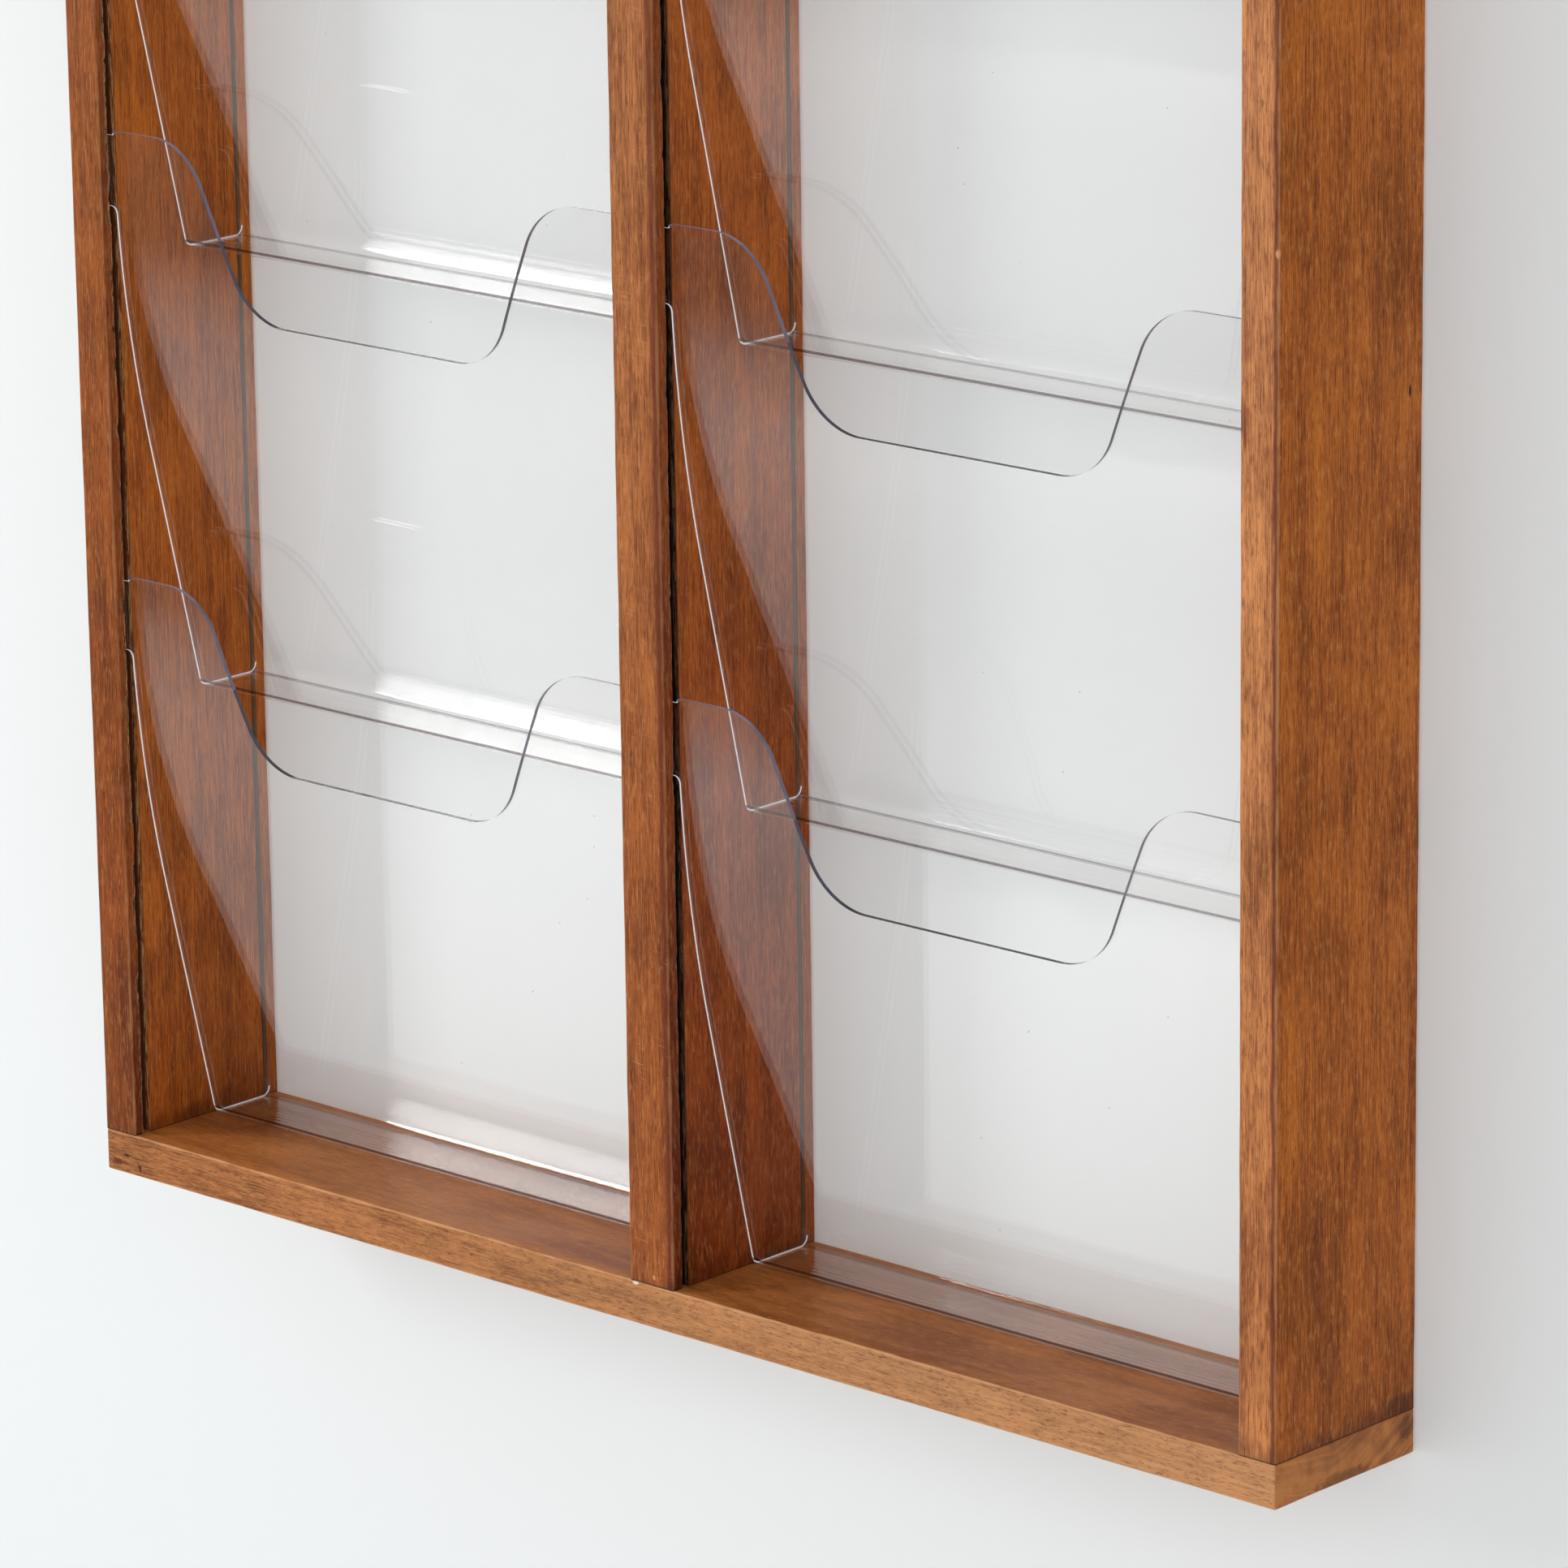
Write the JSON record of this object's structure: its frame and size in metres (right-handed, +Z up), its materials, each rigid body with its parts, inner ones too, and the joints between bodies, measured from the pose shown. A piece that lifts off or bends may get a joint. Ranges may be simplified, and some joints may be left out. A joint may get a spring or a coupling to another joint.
{
  "type": "wall magazine rack",
  "caption": "Wall-hung wooden magazine rack: shingled clear plastic pockets with S-cut mouths slide in grooved uprights between two rails; it hangs from keyhole plates.",
  "frame": {"origin": "on the wall plane, midway between the entry holes of the two hanging keyholes", "axes": "+X to the right seen from the front, +Y into the wall, +Z up; the front faces -Y"},
  "size_m": [0.535, 0.07, 0.7355],
  "materials": {
    "stained_beech": "reddish-brown stain under worn satin varnish, visible beech fleck",
    "clear_sheet": "clear polished plastic sheet with cool cut edges",
    "hanger_steel": "dull zinc plate",
    "screw_steel": "dull zinc plate"
  },
  "bodies": {
    "frame": {"left_upright": "stained_beech", "middle_upright": "stained_beech", "right_upright": "stained_beech", "bottom_rail": "stained_beech", "top_rail": "stained_beech", "left_hanger_plate": "hanger_steel", "right_hanger_plate": "hanger_steel", "bottom_left_screws": "screw_steel", "bottom_middle_screws": "screw_steel", "bottom_right_screws": "screw_steel", "top_left_screws": "screw_steel", "top_middle_screws": "screw_steel", "top_right_screws": "screw_steel", "left_hanger_screws": "screw_steel", "right_hanger_screws": "screw_steel"},
    "left_pocket_1": {"left_pocket_1": "clear_sheet"},
    "left_pocket_2": {"left_pocket_2": "clear_sheet"},
    "left_pocket_3": {"left_pocket_3": "clear_sheet"},
    "left_pocket_4": {"left_pocket_4": "clear_sheet"},
    "right_pocket_1": {"right_pocket_1": "clear_sheet"},
    "right_pocket_2": {"right_pocket_2": "clear_sheet"},
    "right_pocket_3": {"right_pocket_3": "clear_sheet"},
    "right_pocket_4": {"right_pocket_4": "clear_sheet"}
  },
  "joints": [
    {"name": "left_pocket_1_lift", "type": "slide", "parent": "frame", "child": "left_pocket_1", "axis": [0, 0, 1], "range_m": [0, 0.0295]},
    {"name": "left_pocket_2_lift", "type": "slide", "parent": "frame", "child": "left_pocket_2", "axis": [0, 0, 1], "range_m": [0, 0.0295]},
    {"name": "left_pocket_3_lift", "type": "slide", "parent": "frame", "child": "left_pocket_3", "axis": [0, 0, 1], "range_m": [0, 0.0295]},
    {"name": "left_pocket_4_lift", "type": "slide", "parent": "frame", "child": "left_pocket_4", "axis": [0, 0, 1], "range_m": [0, 0.0295]},
    {"name": "right_pocket_1_lift", "type": "slide", "parent": "frame", "child": "right_pocket_1", "axis": [0, 0, 1], "range_m": [0, 0.0295]},
    {"name": "right_pocket_2_lift", "type": "slide", "parent": "frame", "child": "right_pocket_2", "axis": [0, 0, 1], "range_m": [0, 0.0295]},
    {"name": "right_pocket_3_lift", "type": "slide", "parent": "frame", "child": "right_pocket_3", "axis": [0, 0, 1], "range_m": [0, 0.0295]},
    {"name": "right_pocket_4_lift", "type": "slide", "parent": "frame", "child": "right_pocket_4", "axis": [0, 0, 1], "range_m": [0, 0.0295]}
  ],
  "couplings": [
    {"joint": "left_pocket_2_lift", "follows": "left_pocket_1_lift", "ratio": 1},
    {"joint": "left_pocket_3_lift", "follows": "left_pocket_1_lift", "ratio": 1},
    {"joint": "left_pocket_4_lift", "follows": "left_pocket_1_lift", "ratio": 1},
    {"joint": "right_pocket_2_lift", "follows": "right_pocket_1_lift", "ratio": 1},
    {"joint": "right_pocket_3_lift", "follows": "right_pocket_1_lift", "ratio": 1},
    {"joint": "right_pocket_4_lift", "follows": "right_pocket_1_lift", "ratio": 1}
  ]
}
